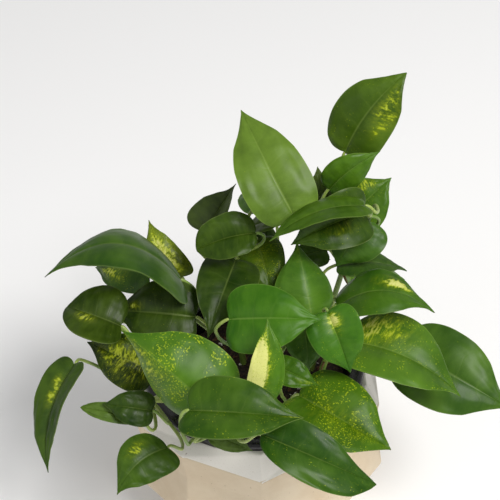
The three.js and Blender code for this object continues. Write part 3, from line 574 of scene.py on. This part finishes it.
def leaf_point(leaf, held, row, side):
    """A point of the blade in metres: row runs from 0 at the stalk to 1 at the tip, side from -1 to 1."""
    base, along, across, up, length = held
    arch = leaf.get("arch", 0.1)
    taper = leaf.get("taper", LEAF_TAPER)
    turn = math.pi * row
    reach = (1 - math.cos(turn)) / 2
    margin = reach - (leaf.get("lobe", LEAF_LOBE) * math.sin(2 * turn) if row < 0.5 else 0)
    vein = reach ** 1.3
    out = abs(side)
    a = vein + (margin - vein) * out ** 1.15 - leaf.get("skew", 0) * side * out * math.sin(turn) ** 2
    widest = math.atan(1 / math.sqrt(1 + taper))
    peak = math.sin(2 * widest) * math.cos(widest) ** taper
    full = math.sin(turn) * max(math.cos(turn / 2), 0) ** taper / peak
    half_width = leaf["width"] / 2 * full * (1 - leaf.get("pinch", LEAF_PINCH) * max(0, reach / 0.3 - 7 / 3))
    fold = leaf.get("foldL", 12) if side > 0 else leaf.get("foldR", 12)
    lean = math.radians(fold + LEAF_CURL * out / 2)
    flat = math.copysign(half_width * out * math.cos(lean), side)
    ripple = LEAF_WAVE * length * math.sin(13 * row + 2 * side) * out * out * math.sin(turn)
    rise = half_width * out * math.sin(lean) + ripple + relief(leaf, row, side)
    hump = 4 * a * (1 - a)
    slope = math.atan(4 * arch * (1 - 2 * a))
    point = base + along * (a * length - rise * math.sin(slope))
    point += across * (flat + leaf.get("bow", 0) * length * hump)
    point += up * (arch * length * hump + rise * math.cos(slope))
    return point * MM


def make_leaf(leaf, upper, under):
    deselect_all()
    bpy.ops.mesh.primitive_grid_add(x_subdivisions=LEAF_COLUMNS, y_subdivisions=LEAF_ROWS, size=1)
    blade = bpy.context.object
    blade.name = leaf["name"] + "_blade"
    held = leaf_frame(leaf)
    for vertex in blade.data.vertices:
        vertex.co = leaf_point(leaf, held, min(max(vertex.co.y + 0.5, 0), 1), -2 * vertex.co.x)
    weld(blade)
    blade.data.materials.append(upper)
    blade.data.materials.append(under)
    apply_modifier(blade, "SOLIDIFY", thickness=LEAF_THICKNESS, offset=0.0, material_offset=1)
    smooth(blade, 60)
    count = len(blade.data.vertices)
    # Each leaf's green holds its own colour with the shade and light painted into it.
    green, patch = hex_colour(leaf["green"]), leaf.get("patch", NO_PATCH)
    marks = {"marking": leaf["marking"], "green": green, "patch": patch}
    for key, value in marks.items():
        mark = blade.data.attributes.new(key, "FLOAT_COLOR", "POINT")
        mark.data.foreach_set("color", list(value) * count)
    in_place(blade, [upper, under], "leaf_blade", leaf["name"])


# ---------- vines ----------
def stalk_route(leaf, joint):
    """Points of a leaf stalk in millimetres, each with its share of the stalk's full radius."""
    base, along, across, up, length = leaf_frame(leaf)
    end = base - along * 1.5 - up
    fall = (along * -0.6 + Vector((0, 0, -0.8))).normalized()
    neck = end + fall * leaf.get("neck", STALK_NECK)
    under_rib = base + along * length * 0.16 + up * (4 * leaf.get("arch", 0.1) * 0.16 * 0.84 * length - 0.7)
    route = [(Vector(joint), 1.25)]
    route += [(Vector(point), 1.0) for point in leaf.get("via", [])]
    route += [(neck, 0.95), (end, 0.9), (base - up * 0.9, 0.75), (under_rib, 0.3)]
    return route


def add_tube(curve, route, radius):
    spline = curve.splines.new("BEZIER")
    spline.bezier_points.add(len(route) - 1)
    for knot, (point, share) in zip(spline.bezier_points, route):
        knot.co = point * MM
        knot.radius = share * radius
        knot.handle_left_type = knot.handle_right_type = "AUTO"
    spline.resolution_u = 8


def tubes_to_mesh(curve, name):
    curve.dimensions = "3D"
    curve.bevel_depth = 1.0
    curve.bevel_resolution = 3
    curve.use_fill_caps = True
    piece = bpy.data.objects.new(name, curve)
    bpy.context.scene.collection.objects.link(piece)
    make_active(piece)
    bpy.ops.object.convert(target="MESH")
    piece = bpy.context.object
    smooth(piece, 50)
    return piece


def make_vine(number, vine, skin):
    name = f"vine_{number + 1}"
    curve = bpy.data.curves.new(name, "CURVE")
    route = [(Vector(point), 1.15 - 0.12 * i) for i, point in enumerate(vine)]
    add_tube(curve, route, VINE_RADIUS)
    for leaf in LEAVES:
        if leaf["vine"] == number:
            add_tube(curve, stalk_route(leaf, vine[-1]), STALK_RADIUS)
    piece = tubes_to_mesh(curve, name + "_stems")
    in_place(piece, [skin], "green_stalk", name)


def make_aerial_roots(skin):
    """Short corky roots at the joints of the vines."""
    chance = random.Random(11)
    curve = bpy.data.curves.new("aerial_roots", "CURVE")
    for vine in VINES:
        for low, high in zip(vine[1:-1], vine[2:]):
            start = Vector(low).lerp(Vector(high), chance.uniform(0.1, 0.7))
            turn = chance.uniform(0, 2 * math.pi)
            out = Vector((math.cos(turn), math.sin(turn), -0.5))
            reach = chance.uniform(4, 8)
            droop = Vector((0, 0, -chance.uniform(1, 4)))
            middle, end = start + out * reach * 0.5, start + out * reach + droop
            add_tube(curve, [(start, 1.0), (middle, 0.8), (end, 0.3)], 0.8 * MM)
    piece = tubes_to_mesh(curve, "aerial_roots")
    in_place(piece, [skin], "green_stalk")


# ---------- pots and soil ----------
def make_planter(stoneware):
    piece = copy_of_node("planter", "planter_body")
    make_active(piece)
    bpy.ops.object.mode_set(mode="EDIT")
    bpy.ops.mesh.select_all(action="SELECT")
    bpy.ops.mesh.dissolve_limited(angle_limit=math.radians(0.5))
    bpy.ops.object.mode_set(mode="OBJECT")
    apply_modifier(piece, "BEVEL", width=0.9 * MM, segments=3, limit_method="ANGLE",
                   angle_limit=math.radians(5), harden_normals=False)
    smooth(piece, 8)
    # Mark the upward faces high on the planter, which the stoneware paints paler: partly a pale top band,
    # partly painted light from above.
    band_mark = piece.data.attributes.new("top_band", "FLOAT", "FACE")
    faces = piece.data.polygons
    in_band = [face.normal.z > BAND_SLOPE and face.center.z > BAND_FOOT for face in faces]
    band_mark.data.foreach_set("value", [float(chosen) for chosen in in_band])
    in_place(piece, [stoneware], "planter_stoneware", "planter")


def make_nursery_pot(plastic):
    piece = copy_of_node("nursery_pot", "nursery_pot_shell")
    apply_modifier(piece, "BEVEL", width=0.3 * MM, segments=3, limit_method="ANGLE",
                   angle_limit=math.radians(35))
    smooth(piece, 40)
    in_place(piece, [plastic], "nursery_plastic", "nursery_pot")


SOIL_LOW, SOIL_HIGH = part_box("soil")
SOIL_EDGE = (SOIL_HIGH.x - SOIL_LOW.x) / 2
SOIL_CROWN = SOIL_HIGH.z - 3 * MM


def soil_height(x, y):
    """The lumpy top of the soil, lowest at the pot's wall."""
    share = min(math.hypot(x, y) / SOIL_EDGE, 1)
    lumps = noise.fractal(Vector((x, y, 0.3)) * 90, 0.8, 2.1, 5) * 1.6 * MM
    return SOIL_CROWN + 2.2 * MM * (1 - share * share) + lumps * (1 - share ** 8)


def soil_point(turn, share):
    """share runs from the middle of the top, over the edge at TOP_SHARE, down to the middle of the bottom."""
    top_share = 0.8
    if share <= top_share:
        reach = SOIL_EDGE * share / top_share
        x, y = reach * math.cos(turn), reach * math.sin(turn)
        return Vector((x, y, soil_height(x, y)))
    down = (share - top_share) / (1 - top_share)
    foot = SOIL_EDGE * 0.68
    if down < 0.5:
        reach = SOIL_EDGE + (foot - SOIL_EDGE) * down * 2
        rim = soil_height(SOIL_EDGE * math.cos(turn), SOIL_EDGE * math.sin(turn))
        return Vector((reach * math.cos(turn), reach * math.sin(turn), rim + (SOIL_LOW.z - rim) * down * 2))
    reach = foot * (1 - (down - 0.5) * 2)
    return Vector((reach * math.cos(turn), reach * math.sin(turn), SOIL_LOW.z))


def make_soil(peat):
    deselect_all()
    bpy.ops.mesh.primitive_grid_add(x_subdivisions=160, y_subdivisions=90, size=1)
    piece = bpy.context.object
    piece.name = "potting_mix"
    for vertex in piece.data.vertices:
        vertex.co = soil_point((vertex.co.x + 0.5) * 2 * math.pi, min(max(vertex.co.y + 0.5, 0), 1))
    weld(piece, 0.01 * MM)
    face_outwards(piece)
    smooth(piece, 60)
    in_place(piece, [peat], "potting_soil", "soil")


def scatter(name, seed, count, size, flatness, material):
    """Bits lying in the top of the soil: one rough grain, copied with a new size and turn each time."""
    chance = random.Random(seed)
    deselect_all()
    bpy.ops.mesh.primitive_ico_sphere_add(subdivisions=1, radius=1)
    grain = bpy.context.object
    corners = [v.co * chance.uniform(0.7, 1.2) for v in grain.data.vertices]
    faces = [tuple(p.vertices) for p in grain.data.polygons]
    bpy.data.objects.remove(grain)
    points, polygons = [], []
    for _ in range(count):
        reach = SOIL_EDGE * 0.95 * math.sqrt(chance.random())
        turn = chance.uniform(0, 2 * math.pi)
        x, y = reach * math.cos(turn), reach * math.sin(turn)
        big = size * chance.uniform(0.5, 1.2)
        heading = Matrix.Rotation(chance.uniform(0, 6.3), 3, "Z")
        turned = heading @ Matrix.Rotation(chance.uniform(-0.5, 0.5), 3, "X")
        scaled = turned @ Matrix.Diagonal((big, big * chance.uniform(0.4, 0.9), big * flatness))
        middle = Vector((x, y, soil_height(x, y) + big * flatness * 0.3))
        polygons += [tuple(i + len(points) for i in face) for face in faces]
        points += [middle + scaled @ corner for corner in corners]
    mesh = bpy.data.meshes.new(name)
    mesh.from_pydata(points, [], polygons)
    piece = bpy.data.objects.new(name, mesh)
    bpy.context.scene.collection.objects.link(piece)
    in_place(piece, [material], "potting_soil")


# ---------- the stage ----------
def make_floor():
    deselect_all()
    bpy.ops.mesh.primitive_plane_add(size=8, location=(0, 0, CAD_BOX[0].z))
    floor = bpy.context.object
    floor.name = "floor"
    floor.data.materials.append(white_paper("white_paper"))


def add_lamp(name, place, target, size, power, colour):
    lamp = bpy.data.lights.new(name, "AREA")
    lamp.shape = "DISK"
    lamp.size = size
    lamp.energy = power
    lamp.color = colour
    holder = bpy.data.objects.new(name, lamp)
    bpy.context.scene.collection.objects.link(holder)
    holder.location = place
    holder.rotation_euler = (Vector(target) - Vector(place)).to_track_quat("-Z", "Y").to_euler()


def make_lights():
    middle = (0, 0, 0.17)
    add_lamp("key_light", (0.8, -0.9, 1.75), middle, 0.8, 38, (1.0, 0.985, 0.965))
    add_lamp("fill_light", (-1.4, -1.2, 1.3), middle, 1.6, 5, (0.97, 0.98, 1.0))
    world = bpy.data.worlds.new("studio")
    bpy.context.scene.world = world
    world.use_nodes = True
    world.node_tree.nodes["Background"].inputs[0].default_value = (1.0, 1.0, 1.0, 1.0)
    world.node_tree.nodes["Background"].inputs[1].default_value = 0.46


def make_camera():
    """A camera that looks down on the plant from the front, leaning a little to one side."""
    target = Vector((2.5, 0, 207)) * MM
    distance = 0.76
    height, lean = math.radians(42), math.radians(4)
    back = Vector((0, -math.cos(height), math.sin(height)))
    up = Vector((0, math.sin(height), math.cos(height)))
    right = Vector((1, 0, 0))
    turned_right = right * math.cos(lean) - up * math.sin(lean)
    turned_up = right * math.sin(lean) + up * math.cos(lean)
    camera = bpy.data.cameras.new("camera")
    camera.angle = math.radians(21)
    camera.clip_start = 0.01
    holder = bpy.data.objects.new("camera", camera)
    bpy.context.scene.collection.objects.link(holder)
    turn = Matrix((turned_right, turned_up, back)).transposed()
    holder.matrix_world = Matrix.Translation(target + back * distance) @ turn.to_4x4()
    bpy.context.scene.camera = holder
    bpy.context.scene.view_settings.view_transform = "Standard"


def make_plant():
    upper = waxy_leaf("waxy_leaf", 0.62, 0.0, 1.0, 0.37)
    under = waxy_leaf("leaf_underside", 0.75, 0.42, 1.4, 0.52)
    for leaf in LEAVES:
        make_leaf(leaf, upper, under)
    stem = green_stem("green_stem")
    for number, vine in enumerate(VINES):
        make_vine(number, vine, stem)
    make_aerial_roots(corky_root("corky_root"))
    make_planter(cast_stoneware("cast_stoneware"))
    make_nursery_pot(black_polypropylene("black_polypropylene"))
    make_soil(damp_peat("damp_peat"))
    scatter("bark_chips", 3, 260, 2.6 * MM, 0.35, bark_chip("bark_chip"))
    scatter("perlite_grains", 5, 60, 1.3 * MM, 0.8, perlite_grain("perlite_grain"))


make_camera()
make_lights()
make_floor()
make_plant()
